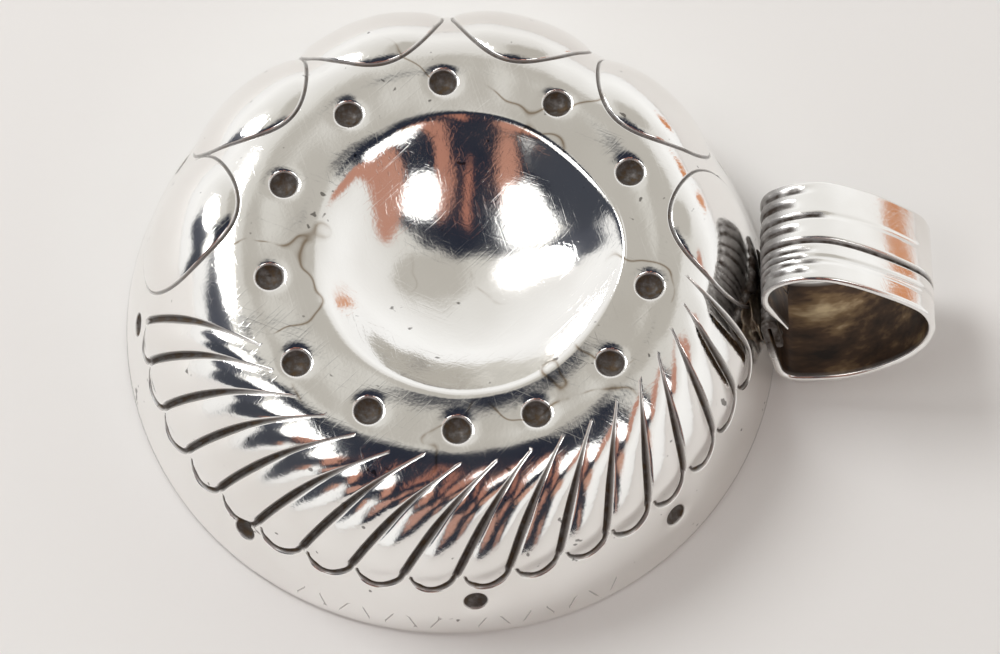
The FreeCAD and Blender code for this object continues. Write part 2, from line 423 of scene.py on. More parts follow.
def lay_out(features, spacing, clear, rim_count):
    """Every point of one face: the features' own, then the background where they leave room."""
    azimuth, u = flat(features)
    keep = (u < SECTION.length - 0.3) & (u > 0)
    azimuth, u = azimuth[keep] % 360, u[keep]
    a = np.radians(azimuth)
    cell = np.round(np.stack([u * np.cos(a), u * np.sin(a)], 1) / MERGE_CELL).astype(int)
    _, first = np.unique(cell, axis=0, return_index=True)
    azimuth, u = azimuth[np.sort(first)], u[np.sort(first)]
    tree = kdtree.KDTree(len(u))
    a = np.radians(azimuth)
    for i, (x, y) in enumerate(zip(u * np.cos(a), u * np.sin(a))):
        tree.insert((x, y, 0), i)
    tree.balance()
    back_az, back_u = flat(background(spacing, SECTION.length))
    b = np.radians(back_az)
    far = np.array([
        tree.find((x, y, 0))[2] > clear for x, y in zip(back_u * np.cos(b), back_u * np.sin(b))
    ])
    rim_az = np.arange(rim_count) * 360 / rim_count
    azimuth = np.concatenate([rim_az, azimuth, back_az[far], [0]])
    u = np.concatenate([np.full(rim_count, SECTION.length), u, back_u[far], [0]])
    return azimuth, u


def triangles(azimuth, u):
    """Triangulates the opened-out face, a disc of radius u."""
    a = np.radians(azimuth)
    plan = [Vector(p) for p in zip(u * np.cos(a), u * np.sin(a))]
    found = delaunay_2d_cdt(plan, [], [], 0, 1e-7, True)
    source = [ids[0] for ids in found[3]]
    return [[source[i] for i in face] for face in found[2]]


LINE_OFFSETS = (-2.0, -1.4, -1.05, -0.8, -0.42, 0, 0.42, 0.8, 1.05, 1.4, 2.0)
TICK_OFFSETS = (-1.5, -1, 0, 1, 1.5)
PIT_RINGS = (0.2, 0.45, 0.66, 0.82, 0.92, 0.99, 1.06, 1.16, 1.32, 1.55, 1.8)
INNER_PIT_RINGS = (0.35, 0.7, 1.0, 1.25, 1.45, 1.7)
RIM_COUNT = 420                 # points round the rim
MERGE_CELL = 0.06               # feature points closer than this, in mm, become one


def outer_face(sheet):
    """The chased face: its points, triangles, tarnish and u."""
    grooves, outlines, ticks = chased_lines()
    features = pit_points(PIT_RINGS, 40)
    for line in grooves + outlines:
        features += line.rows(LINE_OFFSETS)
    for line in ticks:
        features += line.rows(TICK_OFFSETS)
    azimuth, u = lay_out(features, 0.56, 0.36, RIM_COUNT)
    base = SECTION.place(u, azimuth)
    lift = raised(sheet, azimuth, u)
    rim_fade = 1 - smooth(u, SECTION.length - 4, SECTION.length)
    lift += sheet.unevenness / MM * hammer_waves(base, np.random.default_rng(3)) * rim_fade
    tarnish = np.zeros(len(u))
    for near, gap, radius, share in pits_near(base, 4):
        lift[near] -= pit_depth(gap, radius, sheet.pearl_depth / MM * share)
        tarnish[near] = np.maximum(tarnish[near], 1 - smooth(gap, radius * 0.93, radius * 1.02))
    cut = np.zeros(len(u))
    for line in grooves + outlines + ticks:
        near, depth, dark = line.cut(base)
        cut[near] = np.maximum(cut[near], depth)
        tarnish[near] = np.maximum(tarnish[near], dark)
    return SECTION.place(u, azimuth, lift - cut), triangles(azimuth, u), tarnish, u


def inner_face(sheet):
    """The face that holds the wine: the same relief seen from behind, softer."""
    thickness = sheet.thickness / MM
    azimuth, u = lay_out(pit_points(INNER_PIT_RINGS, 24), 0.95, 0.6, RIM_COUNT)
    base = SECTION.place(u, azimuth)
    lift = raised(sheet, azimuth, u)
    for near, gap, radius, share in pits_near(base, 5):
        depth = sheet.pearl_depth / MM * share
        lift[near] -= pit_depth(gap, radius + 0.55, depth - 0.15, lip=0.15)
    cut = np.zeros(len(u))
    grooves, _, _ = chased_lines()
    for line in grooves:
        near, depth, _ = line.cut(base, reach=2.6, depth_scale=0.45)
        cut[near] = np.maximum(cut[near], depth)
    return SECTION.place(u, azimuth, lift - cut - thickness), triangles(azimuth, u)


# ---------------- mesh helpers
def clear_selection():
    if bpy.context.object and bpy.context.object.mode != "OBJECT":
        bpy.ops.object.mode_set(mode="OBJECT")
    bpy.ops.object.select_all(action="DESELECT")


def mesh_piece(name, points, faces):
    """A new object from points in mm, selected and active."""
    clear_selection()
    mesh = bpy.data.meshes.new(name)
    mesh.from_pydata((np.asarray(points) * MM).tolist(), [], faces)
    piece = bpy.data.objects.new(name, mesh)
    bpy.context.scene.collection.objects.link(piece)
    piece.select_set(True)
    bpy.context.view_layer.objects.active = piece
    return piece


def tidy_piece(smooth_angle=None):
    """Merges the active piece's doubles, turns its faces outwards and shades it smooth."""
    bpy.ops.object.mode_set(mode="EDIT")
    bpy.ops.mesh.select_all(action="SELECT")
    bpy.ops.mesh.remove_doubles(threshold=0.004 * MM)
    bpy.ops.mesh.normals_make_consistent(inside=False)
    bpy.ops.object.mode_set(mode="OBJECT")
    if smooth_angle is None:
        bpy.ops.object.shade_smooth()
    else:
        bpy.ops.object.shade_smooth_by_angle(angle=math.radians(smooth_angle))


def set_attribute(piece, name, values):
    layer = piece.data.attributes.new(name, "FLOAT", "POINT")
    layer.data.foreach_set("value", np.asarray(values, np.float32))


# ---------------- materials
class TasterFinish(bpy.types.PropertyGroup):
    silver: bpy.props.FloatVectorProperty(
        name="Silver", description="Colour of the polished silver", subtype="COLOR",
        size=4, min=0, max=1, default=(0.965, 0.957, 0.94, 1))
    tarnish: bpy.props.FloatVectorProperty(
        name="Tarnish", description="Colour of the old tarnish in the lines and pits",
        subtype="COLOR", size=4, min=0, max=1, default=(0.028, 0.018, 0.012, 1))
    # film is also the colour of the painted crack reflections
    film: bpy.props.FloatVectorProperty(
        name="Thin tarnish", description="Warm film where the polish never reaches",
        subtype="COLOR", size=4, min=0, max=1, default=(0.30, 0.215, 0.13, 1))


class Nodes:
    """Adds and links the nodes of one material or world."""

    def __init__(self, owner, output, shader):
        owner.use_nodes = True
        self.owner, self.tree = owner, owner.node_tree
        self.tree.nodes.clear()
        self.output, self.shader = self.add(output), self.add(shader)
        self.link(self.shader, 0, self.output, "Surface")
        self.coords = self.add("ShaderNodeTexCoord")

    def add(self, kind, **values):
        """A new node with these properties or inputs; an underscore stands for a space."""
        node = self.tree.nodes.new(kind)
        for key, value in values.items():
            if hasattr(node, key):
                setattr(node, key, value)
            else:
                node.inputs[key.replace("_", " ")].default_value = value
        return node

    def link(self, source, output, target, socket):
        self.tree.links.new(source.outputs[output], target.inputs[socket])

    def mapped(self, scale, turn=(0, 0, 0)):
        """The object's own coordinates, seen from axes turned by an angle and stretched along them."""
        node = self.add("ShaderNodeMapping", vector_type="TEXTURE",
                        Scale=[1 / stretch for stretch in scale], Rotation=turn)
        self.link(self.coords, "Object", node, "Vector")
        return node

    def noise(self, scale, detail=2.0, roughness=0.5, source=None):
        """source is a (node, output) pair, or else the object's own coordinates."""
        node = self.add("ShaderNodeTexNoise", Scale=scale, Detail=detail, Roughness=roughness)
        self.link(*(source or (self.coords, "Object")), node, "Vector")
        return node

    def ramp(self, source, output, stops):
        """A colour ramp from a list of (place, grey or colour)."""
        node = self.add("ShaderNodeValToRGB")
        while len(node.color_ramp.elements) < len(stops):
            node.color_ramp.elements.new(0.5)
        for element, (place, value) in zip(node.color_ramp.elements, stops):
            element.position = place
            element.color = (value, value, value, 1) if isinstance(value, (int, float)) else value
        self.link(source, output, node, "Fac")
        return node

    def math(self, operation, first, second, kind="ShaderNodeMath"):
        """first and second are (node, output) pairs or values."""
        node = self.add(kind, operation=operation)
        for index, value in enumerate((first, second)):
            if isinstance(value, tuple):
                self.tree.links.new(value[0].outputs[value[1]], node.inputs[index])
            else:
                node.inputs[index].default_value = value
        return node

    def mix(self, factor, first, second):
        """Mixes two colours, each a (node, output) pair or a colour."""
        node = self.add("ShaderNodeMix", data_type="RGBA")
        for socket, value in ((0, factor), (6, first), (7, second)):
            if isinstance(value, tuple) and hasattr(value[0], "outputs"):
                self.tree.links.new(value[0].outputs[value[1]], node.inputs[socket])
            else:
                node.inputs[socket].default_value = value
        return node

    def bump(self, source, output, strength, distance, under=None):
        node = self.add("ShaderNodeBump", Strength=strength, Distance=distance)
        self.link(source, output, node, "Height")
        if under is not None:
            self.link(under, "Normal", node, "Normal")
        return node


def material_nodes(name):
    return Nodes(bpy.data.materials.new(name), "ShaderNodeOutputMaterial", "ShaderNodeBsdfPrincipled")


def add_scratches(nodes, strength):
    """Fine polishing scratches in three directions, and a dust of pinpricks, as one bump chain."""
    last = None
    for turn, stretch in ((0.35, 2600), (1.25, 2100), (2.4, 3000)):
        across = nodes.mapped((stretch, 60, 900), (0, 0, turn))
        fine = nodes.noise(1.0, 3.0, 0.6, (across, "Vector"))
        lines = nodes.ramp(fine, "Fac", [(0.0, 0.0), (0.60, 0.0), (0.66, 1.0), (1.0, 1.0)])
        last = nodes.bump(lines, "Color", strength, 0.000012, last)
    for scale, depth in ((2600, 0.8), (650, 1.2), (170, 3.0)):
        last = nodes.bump(nodes.noise(scale, 2.0), "Fac", strength * depth, 0.00004, last)
    return last


def dull_down(nodes, dark):
    """Where it is dark the surface is a crust, not a mirror."""
    for socket, clean, crusted in (("Metallic", 1.0, 0.1), ("Specular IOR Level", 0.5, 0.12)):
        loss = nodes.math("MULTIPLY", (dark, "Value"), clean - crusted)
        nodes.link(nodes.math("SUBTRACT", clean, (loss, "Value")), "Value", nodes.shader, socket)


def patchy_tarnish(nodes, broken, stops):
    """The tarnish attribute, broken up a little by a noise."""
    mark = nodes.add("ShaderNodeAttribute", attribute_name="tarnish")
    patchy = nodes.ramp(broken, "Fac", stops)
    return nodes.math("MULTIPLY", (mark, "Fac"), (patchy, "Color"))


def filmed_silver(nodes, finish, scale, stops):
    """Polished silver with clouds of thin tarnish."""
    film = nodes.ramp(nodes.noise(scale, 3.0, 0.6), "Fac", stops)
    return nodes.mix((film, "Color"), tuple(finish.silver), tuple(finish.film))


def silver_material(finish):
    """Old hand-polished silver, brown-black where the tarnish attribute says, with painted crack
    reflections in the channel and the dish's middle.
    """
    nodes = material_nodes("polished_silver")
    broken = nodes.noise(900, 3.0, 0.65)
    dark = patchy_tarnish(nodes, broken, [(0.32, 0.86), (0.62, 1.0)])
    polished = filmed_silver(nodes, finish, 38, [(0.42, 0.0), (0.75, 0.16)])
    dots = nodes.ramp(nodes.noise(420, 2.0, 0.75), "Fac", [(0.70, 0.0), (0.735, 0.7)])
    dotted = nodes.mix((dots, "Color"), (polished, 2), tuple(finish.tarnish))
    # painted reflection of a cracked ceiling, in the film colour, over the channel and the dish's
    # middle
    crack_reflected = nodes.mix((add_painted_crack_reflections(nodes), "Value"), (dotted, 2), tuple(finish.film))
    hollows = nodes.ramp(broken, "Fac", [(0.46, 0.0), (0.80, 0.4)])
    deep = nodes.mix((hollows, "Color"), tuple(finish.tarnish), tuple(finish.film))
    body = nodes.mix((dark, "Value"), (crack_reflected, 2), (deep, 2))
    nodes.link(body, 2, nodes.shader, "Base Color")
    polish = nodes.ramp(nodes.noise(55, 3.0, 0.6), "Fac", [(0.30, 0.07), (0.72, 0.15)])
    scuff = nodes.add("ShaderNodeAttribute", attribute_name="scuff")
    rubbed = nodes.math("MULTIPLY", (scuff, "Fac"), (nodes.noise(420, 4.0, 0.7), "Fac"))
    worn = nodes.mix((rubbed, "Value"), (polish, "Color"), (0.62, 0.62, 0.62, 1))
    rough = nodes.mix((dark, "Value"), (worn, 2), (0.5, 0.5, 0.5, 1))
    nodes.link(rough, 2, nodes.shader, "Roughness")
    dull_down(nodes, dark)
    nodes.link(add_scratches(nodes, 0.20), "Normal", nodes.shader, "Normal")
    return nodes.owner


def add_painted_crack_reflections(nodes):
    """Painted reflections of thin wandering cracks, broken, where the painted_crack_mask attribute
    allows them.
    """
    painted_crack_mask = nodes.add("ShaderNodeAttribute", attribute_name="painted_crack_mask")
    wander = nodes.noise(42, 3.0, 0.45)
    off = nodes.math("ABSOLUTE", (nodes.math("SUBTRACT", (wander, "Fac"), 0.5), "Value"), 0.0)
    line = nodes.ramp(off, "Value", [(0.0, 1.0), (0.0022, 0.8), (0.005, 0.0)])
    parts = nodes.ramp(nodes.noise(110, 3.0, 0.6), "Fac", [(0.43, 0.0), (0.52, 0.9)])
    shown = nodes.math("MULTIPLY", (line, "Color"), (parts, "Color"))
    return nodes.math("MULTIPLY", (shown, "Value"), (painted_crack_mask, "Fac"))


def replace_material(obj, material):
    obj.data.materials.clear()
    obj.data.materials.append(material)


# ---------------- the cup
class WT_OT_sheet(bpy.types.Operator):
    """Raise and chase the cup's one sheet of silver"""
    bl_idname = "wine_taster.sheet"
    bl_label = "Silver sheet"

    LIP_STEPS = 6
    SCUFF = (7.2, 0.4)          # middle of the rubbed spot in the dish, in mm
    SCUFF_SPREAD = 7.0          # in square mm

    def execute(self, context):
        sheet = context.scene.taster_sheet
        outer, outer_faces, tarnish, u = outer_face(sheet)
        inner, inner_faces = inner_face(sheet)
        lip = self.lip(outer[:RIM_COUNT], inner[:RIM_COUNT])
        points = np.concatenate([outer, inner] + lip)
        faces = outer_faces + [[len(outer) + i for i in face][::-1] for face in inner_faces]
        lip_start = len(outer) + len(inner)
        rings = [0] + [lip_start + RIM_COUNT * i for i in range(len(lip))] + [len(outer)]
        for first, second in zip(rings, rings[1:]):
            for i in range(RIM_COUNT):
                j = (i + 1) % RIM_COUNT
                faces.append([first + i, second + i, second + j, first + j])
        piece = mesh_piece("raised_sheet", points, faces)
        # where the painted crack reflections go: the channel, and weaker in the dish's middle
        painted_crack_mask = smooth(u, 17, 21) * (1 - smooth(u, 29, 33)) + 0.4 * (1 - smooth(u, 4, 8))
        gap = outer[:, :2] - self.SCUFF
        scuff = np.exp(-(gap ** 2).sum(1) / self.SCUFF_SPREAD)
        for name, values in (("tarnish", tarnish), ("painted_crack_mask", painted_crack_mask), ("scuff", scuff)):
            set_attribute(piece, name, np.pad(values, (0, len(points) - len(outer))))
        tidy_piece()
        replace_material(piece, silver_material(context.scene.taster_finish))
        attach(piece, "root")
        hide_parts("bowl")
        return {"FINISHED"}

    def lip(self, outer, inner):
        """Rings that round the rim over, from the outer face down and up to the inner face."""
        middle, half = (outer + inner) / 2, (outer - inner) / 2
        down = np.array([0, 0, -1.0]) * np.linalg.norm(half, axis=1)[:, None]
        steps = np.arange(1, self.LIP_STEPS) * math.pi / self.LIP_STEPS
        return [middle + half * math.cos(s) + down * math.sin(s) for s in steps]


# ---------------- the finger ring
class TasterRing(bpy.types.PropertyGroup):
    thickness: bpy.props.FloatProperty(
        name="Strap thickness", description="Thickness of the strap",
        default=0.9 * MM, unit="LENGTH")
    width: bpy.props.FloatProperty(
        name="Strap width", description="Width of the strap across the ring",
        default=16.0 * MM, unit="LENGTH")
    lean: bpy.props.FloatProperty(
        name="Lean", description="How far the ring's own axis climbs towards the near side",
        default=math.radians(16), subtype="ANGLE")
    foot: bpy.props.FloatProperty(
        name="Foot height", description="Height of the ring's lowest line at mid width",
        default=2.5 * MM, unit="LENGTH")
    relief: bpy.props.FloatProperty(
        name="Groove depth", description="Depth of the deepest groove along the strap",
        default=0.45 * MM, unit="LENGTH")


SCROLL_START = (41.86, 7.35)    # out from the axis, up from the foot, in mm
SCROLL_HEADING = 108.0
STRAP_ROUTE = [                 # (bend radius, heading after it), or ("straight", length)
    ("straight", 3.6),
    (0.6, 288.0),               # the scroll's roll, beside the cup
    ("straight", 8.25),         # down along the wall
    (2.5, 360.0),               # foot of the ring
    (18.2, 412.0),              # underside
    (7.0, 447.5),               # outer end
    (5.1, 508.0),
    (34.5, 526.5),              # long sloping top
    (9.05, 576.5),              # hump beside the cup
    (3.05, 630.0),
    (3.8, 665.0),
    ("straight", 4.8),          # free end, hanging beside the scroll
]
# Grooves on the strap's outer face: (place across the width, half width, share of the
# deepest groove near the cup, share of it where the strap is worn).
STRAP_GROOVES = [
    (-6.6, 0.7, 0.7, 0.0), (-4.5, 0.85, 1.0, 0.0), (-2.3, 0.55, 0.9, 0.12),
    (-0.4, 0.75, 0.9, 0.0), (1.85, 0.55, 1.1, 1.1), (3.1, 0.45, 0.8, 0.0),
    (4.35, 0.45, 0.9, 0.24), (5.2, 0.4, 0.6, 0.12), (6.5, 0.55, 0.6, 0.0),
]


def run_length(bend, value, heading):
    return value if bend == "straight" else bend * math.radians(value - heading)


def further(x, z, heading, bend, length):
    """Where the strap is, and its heading, this much further along a straight or a bend."""
    h0 = math.radians(heading)
    if bend == "straight":
        return x + length * math.cos(h0), z + length * math.sin(h0), heading
    h1 = h0 + length / bend
    return (x + bend * (math.sin(h1) - math.sin(h0)), z + bend * (math.cos(h0) - math.cos(h1)),
            math.degrees(h1))


def route_samples(step=0.1):
    """The strap's middle line: points, headings in degrees and distance, in the ring's plane."""
    place = (*SCROLL_START, SCROLL_HEADING)
    distance = 0.0
    rows = []
    for bend, value in STRAP_ROUTE:
        length = run_length(bend, value, place[2])
        count = max(2, round(length / step))
        for part in (length * i / count for i in range(count)):
            rows.append((*further(*place, bend, part), distance + part))
        place = further(*place, bend, length)
        distance += length
    rows.append((*place, distance))
    return np.array(rows)


class WT_OT_ring(bpy.types.Operator):
    """Bend the ribbed strap into the finger ring with its small scroll"""
    bl_idname = "wine_taster.ring"
    bl_label = "Finger ring"

    COLUMNS = 84                # points across the strap's outer face
    EDGE = 0.3                  # rounding of the strap's edges, in mm
    STEP = 0.3                  # length of one step along the strap, in mm
    MAX_TURN = math.radians(7)  # and its turn in a bend

    def execute(self, context):
        ring = context.scene.taster_ring
        piece = self.add_section(ring)
        self.follow_route()
        bpy.ops.mesh.select_all(action="SELECT")
        bpy.ops.mesh.remove_doubles(threshold=0.01 * MM)
        bpy.ops.mesh.select_all(action="DESELECT")
        bpy.ops.mesh.select_non_manifold()
        bpy.ops.mesh.fill_holes(sides=0)
        bpy.ops.object.mode_set(mode="OBJECT")
        self.work_relief(piece, ring)
        tidy_piece(smooth_angle=50)
        lean = Matrix.Rotation(-ring.lean, 4, "X")
        piece.data.transform(Matrix.Translation((0, 0, ring.foot)) @ lean)
        replace_material(piece, ring_material(context.scene.taster_finish))
        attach(piece, "root")
        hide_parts("ring_handle")
        return {"FINISHED"}

    def section_outline(self, ring):
        """(across, thickness) pairs round the strap's section, in mm, edges rounded."""
        half, thick = ring.width / MM / 2, ring.thickness / MM / 2
        across = np.linspace(-half + self.EDGE, half - self.EDGE, self.COLUMNS)
        inner = np.linspace(half - self.EDGE, -half + self.EDGE, self.COLUMNS // 3)
        turn = np.linspace(0, math.pi, 9)[1:-1]
        right = [(half - self.EDGE + self.EDGE * math.sin(a), -thick * math.cos(a)) for a in turn]
        left = [(-half + self.EDGE - self.EDGE * math.sin(a), thick * math.cos(a)) for a in turn]
        return [(a, -thick) for a in across] + right + [(a, thick) for a in inner] + left

    def add_section(self, ring):
        """The strap's cut end as a face, standing at the start of the route."""
        outline = self.section_outline(ring)
        clear_selection()
        bpy.ops.mesh.primitive_circle_add(vertices=len(outline), radius=MM, fill_type="NGON")
        piece = bpy.context.object
        piece.name = piece.data.name = "finger_ring"
        side = math.radians(SCROLL_HEADING + 90)
        for vertex, (across, thick) in zip(piece.data.vertices, outline):
            vertex.co = Vector((SCROLL_START[0] + thick * math.cos(side), -across,
                                SCROLL_START[1] + thick * math.sin(side))) * MM
        bpy.ops.object.mode_set(mode="EDIT")
        bpy.ops.mesh.select_all(action="SELECT")
        return piece

    def follow_route(self):
        """Extrudes the straights and spins the bends, one after another."""
        x, z, heading = *SCROLL_START, SCROLL_HEADING
        for bend, value in STRAP_ROUTE:
            h0 = math.radians(heading)
            length = run_length(bend, value, heading)
            if bend == "straight":
                count = round(length / self.STEP)
                step = Vector((math.cos(h0), 0, math.sin(h0))) * (length / count)
                for _ in range(count):
                    bpy.ops.mesh.extrude_region_move(
                        TRANSFORM_OT_translate={"value": step * MM})
            else:
                angle = length / bend
                centre = Vector((x - bend * math.sin(h0), 0, z + bend * math.cos(h0)))
                count = max(8, round(length / self.STEP), round(angle / self.MAX_TURN))
                bpy.ops.mesh.spin(steps=count, angle=angle, center=centre * MM, axis=(0, 1, 0))
            x, z, heading = further(x, z, heading, bend, length)

    def work_relief(self, piece, ring):
        """Chases the grooves, wears them down away from the cup, and marks the tarnish and the painted
        shade.
        """
        route = route_samples()
        tree = kdtree.KDTree(len(route))
        for i, (x, z, _, _) in enumerate(route):
            tree.insert((x * MM, 0, z * MM), i)
        tree.balance()
        co = np.array([v.co for v in piece.data.vertices])
        nearest = np.array([tree.find((x, 0, z))[1] for x, _, z in co])
        x, z, heading, distance = route[nearest].T
        side = np.radians(heading + 90)
        thick = ((co[:, 0] / MM - x) * np.cos(side) + (co[:, 2] / MM - z) * np.sin(side))
        across = -co[:, 1] / MM
        length = route[-1, 3]
        outside = np.clip(-thick / (ring.thickness / MM / 2), 0, 1)
        rng = np.random.default_rng(11)
        depth = np.zeros(len(co))
        tarnish = np.zeros(len(co))
        for place, half, fresh, worn in STRAP_GROOVES:
            wander = 0.12 * np.sin(distance / 5.0 + rng.uniform(0, 6))
            gap = np.clip(np.abs(across - place - wander) / half, 0, 1)
            ends = length - rng.uniform(13.6, 17.6)
            fading = np.maximum(smooth(distance, ends, ends + 3.2), 1 - smooth(distance, 12, 20))
            lumps = 1 - 0.35 * (1 - worn) * (0.5 + 0.5 * np.sin(distance * 2.1 + place * 3))
            share = worn + (fresh * lumps - worn) * fading
            depth = np.maximum(depth, share * (1 - gap ** 2) ** 1.5)
            tarnish = np.maximum(tarnish, (1 - smooth(gap, 0.4, 1.0)) * smooth(share, 0.15, 0.6))
        half_width = ring.width / MM / 2
        crown = 0.10 * np.cos(across / half_width * math.pi / 2)
        taper = 1 - 0.62 * smooth(distance, length - 5.0, length - 0.2)
        wave = 0.05 * np.sin(across / 2.7 + distance / 4.1) + 0.04 * np.sin(distance / 2.3 + 1)
        new_thick = thick * taper + outside * (ring.relief / MM * depth - crown * 0.5) + wave * 0.5
        edge_wave = 0.10 * np.sin(distance / 3.7) + 0.06 * np.sin(distance / 1.3 + 2)
        narrowing = 1 - 0.05 * smooth(distance, length - 4, length)
        new_across = across * (1 + edge_wave / half_width * 0.5) * narrowing
        spot = np.stack([x + new_thick * np.cos(side), -new_across, z + new_thick * np.sin(side)], 1)
        piece.data.vertices.foreach_set("co", (spot * MM).ravel())
        edge = smooth(half_width - np.abs(across), 0.05, 0.4)
        inside = smooth(thick, 0.0, 0.38) * edge
        scroll = 1 - smooth(distance, 8, 13)        # darkened all over: the scroll and the strap's run down beside the wall
        # painted shade on the hump's face that turns towards the cup
        painted_cup_side_shade = 0.8 * outside * smooth(distance, length - 13, length - 9.5)
        tarnish_and_painted_shade = np.maximum(np.maximum(tarnish * outside, painted_cup_side_shade), scroll)
        # the tarnish attribute here holds the grooves' tarnish, the painted shade on the cup side and
        # the darkened scroll
        set_attribute(piece, "tarnish", tarnish_and_painted_shade)
        set_attribute(piece, "inside", inside)


def ring_material(finish):
    """Worn silver outside; inside the ring, brown tarnish with painted streaks of light and dark
    reflection along the strap; black in the grooves.
    """
    nodes = material_nodes("worn_silver")
    inside = nodes.add("ShaderNodeAttribute", attribute_name="inside")
    # dark: the grooves' tarnish, the darkened scroll, and painted shade on the hump's face towards the
    # cup
    dark = patchy_tarnish(nodes, nodes.noise(700, 3.0, 0.65), [(0.30, 0.85), (0.60, 1.0)])
    # inside the ring: brown tarnish, with painted streaks of reflection, light and dark, running along
    # the strap
    streak = nodes.noise(1.0, 4.0, 0.6, (nodes.mapped((70, 190, 260)), "Vector"))
    tarnish_and_painted_reflection = nodes.ramp(streak, "Fac", [
        (0.38, (0.016, 0.009, 0.006, 1)), (0.52, (0.070, 0.038, 0.020, 1)),
        (0.61, (0.20, 0.125, 0.062, 1)), (0.73, (0.56, 0.43, 0.26, 1))])
    polished = filmed_silver(nodes, finish, 60, [(0.45, 0.0), (0.75, 0.2)])
    lined = nodes.mix((dark, "Value"), (polished, 2), tuple(finish.tarnish))
    body = nodes.mix((inside, "Fac"), (lined, 2), (tarnish_and_painted_reflection, "Color"))
    nodes.link(body, 2, nodes.shader, "Base Color")
    polish = nodes.ramp(nodes.noise(80, 3.0, 0.6), "Fac", [(0.30, 0.07), (0.72, 0.16)])
    dull = nodes.math("MAXIMUM", (dark, "Value"), (inside, "Fac"))
    rough = nodes.mix((dull, "Value"), (polish, "Color"), (0.38, 0.38, 0.38, 1))
    nodes.link(rough, 2, nodes.shader, "Roughness")
    half_dull = nodes.math("MULTIPLY", (inside, "Fac"), 0.6)
    dull_down(nodes, nodes.math("MAXIMUM", (dark, "Value"), (half_dull, "Value")))
    nodes.link(add_scratches(nodes, 0.14), "Normal", nodes.shader, "Normal")
    return nodes.owner


# ---------------- the solder
class WT_OT_solder(bpy.types.Operator):
    """Run the solder into the gap between the wall and the strap"""
    bl_idname = "wine_taster.solder"
    bl_label = "Solder"

    def execute(self, context):
        low, high = (Vector(corner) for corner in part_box("handle_solder"))
        clear_selection()
        bpy.ops.mesh.primitive_uv_sphere_add(segments=64, ring_count=40, radius=0.5)
        piece = bpy.context.object
        piece.name = piece.data.name = "solder_fillet"
        size, middle = high - low, (high + low) / 2
        rng = np.random.default_rng(5)
        co = np.array([v.co for v in piece.data.vertices]) * 2
        lumps = 1 + 0.10 * hammer_waves(co * 14, rng)
        shape = np.sign(co) * np.abs(co) ** 0.8 * lumps[:, None]
        local = shape * np.array([size.x * 0.18, size.y * 0.485, size.z * 0.47])
        local[:, 0] -= 0.36 * local[:, 2]       # leaning in with the wall
        local[:, 2] -= 0.26 * local[:, 1]       # and with the ring
        piece.data.vertices.foreach_set("co", (local + np.array(middle)).ravel())
        tidy_piece()
        replace_material(piece, solder_material(context.scene.taster_finish))
        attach(piece, "root")
        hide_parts("handle_solder")
        return {"FINISHED"}


def solder_material(finish):
    """Dull grainy solder, clouded from near black through brown to grey."""
    nodes = material_nodes("silver_solder")
    cloud = nodes.noise(240, 4.0, 0.65)
    body = nodes.ramp(cloud, "Fac", [
        (0.32, tuple(finish.tarnish)), (0.50, (0.20, 0.155, 0.11, 1)), (0.72, (0.58, 0.54, 0.47, 1))])
    nodes.link(body, "Color", nodes.shader, "Base Color")
    rough = nodes.ramp(cloud, "Fac", [(0.3, 0.55), (0.7, 0.3)])
    nodes.link(rough, "Color", nodes.shader, "Roughness")
    nodes.shader.inputs["Metallic"].default_value = 0.85
    grain = nodes.bump(nodes.noise(900, 4.0, 0.6), "Fac", 0.5, 0.00005)
    nodes.link(grain, "Normal", nodes.shader, "Normal")
    return nodes.owner


# ---------------- stage, lights and camera
class TasterStage(bpy.types.PropertyGroup):
    elevation: bpy.props.FloatProperty(
        name="Camera elevation", description="Height of the camera's line of sight",
        default=math.radians(67.41), subtype="ANGLE")
    azimuth: bpy.props.FloatProperty(
        name="Camera azimuth", description="Turn of the camera about the cup's axis",
        default=0.0, subtype="ANGLE")
    roll: bpy.props.FloatProperty(
        name="Camera roll", description="Tilt of the camera about its line of sight",
        default=math.radians(3.255), subtype="ANGLE")
    distance: bpy.props.FloatProperty(
        name="Camera distance", description="From the camera to the point it looks at",
        default=0.4, unit="LENGTH")
    lens: bpy.props.FloatProperty(
        name="Lens", description="Focal length in millimetres", default=110.1)
    floor: bpy.props.FloatVectorProperty(
        name="Floor", description="Colour of the pale floor", subtype="COLOR", size=4,
        min=0, max=1, default=(0.80, 0.796, 0.780, 1))


